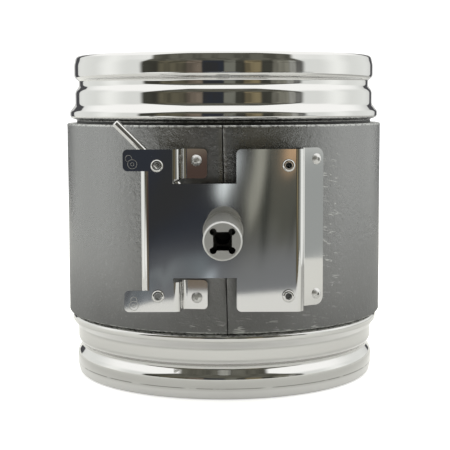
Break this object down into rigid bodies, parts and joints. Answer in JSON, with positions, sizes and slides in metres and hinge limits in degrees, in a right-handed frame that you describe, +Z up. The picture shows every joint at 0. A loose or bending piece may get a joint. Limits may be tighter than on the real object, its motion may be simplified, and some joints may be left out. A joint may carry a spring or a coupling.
{
  "type": "butterfly damper",
  "caption": "Round duct butterfly damper with rolled steel ends, a foam sleeve, a folded actuator bracket, a square-socket drive shaft with pointer rod, and a turning vane.",
  "frame": {"origin": "centre of the lower rim, on the duct axis", "axes": "+Z up along the duct axis; -Y towards the actuator bracket; the shaft lies along Y at mid height"},
  "size_m": [0.164, 0.2126, 0.1647],
  "materials": {
    "polished_steel": "mirror-polished stainless sheet",
    "foam": "satin closed-cell rubber foam",
    "turned_steel": "turned, fine rings",
    "bearing_plastic": "natural moulded plastic",
    "seal_rubber": "matt black rubber"
  },
  "bodies": {
    "duct": {"duct_body": "polished_steel", "insulation_sleeve": "foam", "actuator_bracket": "polished_steel", "bracket_rivets": "polished_steel", "rivet_mandrels": "turned_steel", "bracket_bush": "turned_steel", "front_bearing": "bearing_plastic", "rear_bearing": "bearing_plastic", "front_shaft_seal": "seal_rubber", "rear_shaft_seal": "seal_rubber"},
    "vane": {"drive_shaft": "turned_steel", "coupling_head": "turned_steel", "thrust_washer": "turned_steel", "retaining_ring": "turned_steel", "indicator_rod": "polished_steel", "vane_disc_right": "polished_steel", "vane_disc_left": "polished_steel", "vane_gasket_upper": "seal_rubber", "vane_gasket_lower": "seal_rubber", "vane_rivets": "turned_steel", "vane_cross_pins": "turned_steel"}
  },
  "joints": [
    {"name": "vane_turn", "type": "hinge", "parent": "duct", "child": "vane", "pos_m": [0, 0, 0.08235], "axis": [0, -1, 0], "range_deg": [0, 90]}
  ]
}
